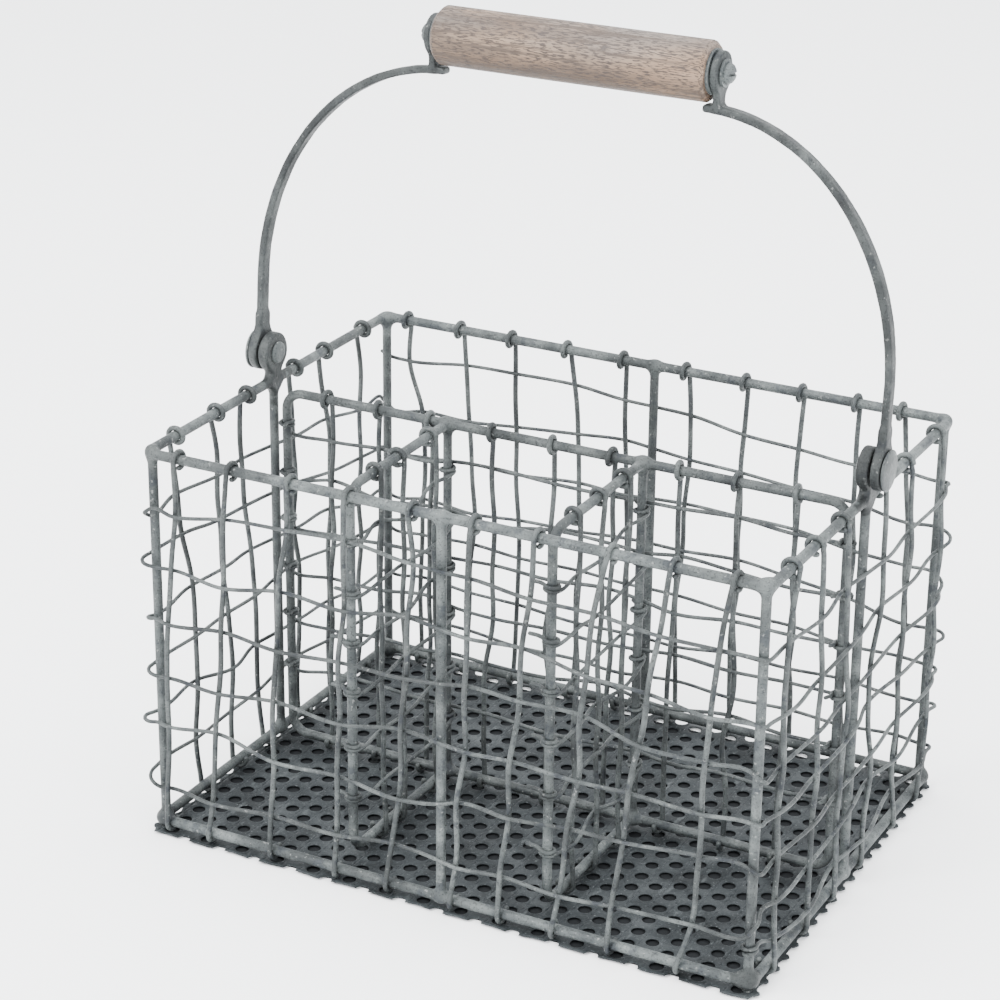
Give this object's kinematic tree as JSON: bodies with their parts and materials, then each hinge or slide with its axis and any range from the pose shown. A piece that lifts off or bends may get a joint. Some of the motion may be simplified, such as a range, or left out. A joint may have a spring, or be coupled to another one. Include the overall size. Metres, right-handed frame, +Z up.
{
  "type": "bottle crate",
  "caption": "Galvanised wire bottle crate with a perforated floor, small divided cells beside one long bay, and a swinging bail with a turned wooden grip.",
  "frame": {"origin": "middle of the underside of the floor sheet, which is the bottom centre of the whole object", "axes": "+Z up; +X along the long side, towards the right-hand pivot lug; +Y from the divided cells towards the long bay"},
  "size_m": [0.2886, 0.204, 0.34],
  "materials": {
    "rod_zinc": "dull weathered galvanised rod",
    "wire_zinc": "dull weathered galvanised wire with bluish patches",
    "floor_sheet": "dark matt galvanised perforated sheet",
    "bail_zinc": "dull galvanised strap with pale flecks and wear",
    "fastener_zinc": "galvanised, a little brighter on worn faces",
    "grip_wood": "bare pale hardwood with dark open pores, greyed by weather"
  },
  "bodies": {
    "crate": {"base_sheet": "floor_sheet", "bottom_rod_front": "rod_zinc", "bottom_rod_back": "rod_zinc", "bottom_rod_left": "rod_zinc", "bottom_rod_right": "rod_zinc", "top_rim": "rod_zinc", "corner_post_front_left": "rod_zinc", "corner_post_front_right": "rod_zinc", "corner_post_back_left": "rod_zinc", "corner_post_back_right": "rod_zinc", "mid_post_front": "rod_zinc", "mid_post_back": "rod_zinc", "mid_post_left": "rod_zinc", "mid_post_right": "rod_zinc", "long_divider_frame": "rod_zinc", "short_divider_frame_left": "rod_zinc", "short_divider_frame_right": "rod_zinc", "divider_post_left": "rod_zinc", "divider_post_right": "rod_zinc", "front_uprights": "wire_zinc", "back_uprights": "wire_zinc", "left_uprights": "wire_zinc", "right_uprights": "wire_zinc", "spiral_turn_1": "wire_zinc", "spiral_turn_2": "wire_zinc", "spiral_turn_3": "wire_zinc", "spiral_turn_4": "wire_zinc", "spiral_turn_5": "wire_zinc", "spiral_turn_6": "wire_zinc", "spiral_falls": "wire_zinc", "spiral_end": "wire_zinc", "long_divider_uprights": "wire_zinc", "long_divider_cross_wires": "wire_zinc", "short_divider_uprights_left": "wire_zinc", "short_divider_uprights_right": "wire_zinc", "short_divider_cross_wires_left": "wire_zinc", "short_divider_cross_wires_right": "wire_zinc", "lug_left": "rod_zinc", "lug_right": "rod_zinc", "rivet_left": "fastener_zinc", "rivet_right": "fastener_zinc"},
    "bail": {"bail_arm_left": "bail_zinc", "bail_arm_right": "bail_zinc"},
    "grip": {"grip": "grip_wood", "grip_washer_left": "fastener_zinc", "grip_washer_right": "fastener_zinc", "screw_washer_left": "fastener_zinc", "screw_washer_right": "fastener_zinc", "grip_screw_left": "fastener_zinc", "grip_screw_right": "fastener_zinc"}
  },
  "joints": [
    {"name": "bail_swing", "type": "hinge", "parent": "crate", "child": "bail", "pos_m": [0, 0, 0.1844], "axis": [1, 0, 0], "range_deg": [-87, 96]},
    {"name": "grip_spin", "type": "hinge", "parent": "bail", "child": "grip", "pos_m": [0, 0.0113, 0.32796], "axis": [1, 0, 0], "continuous": true}
  ]
}
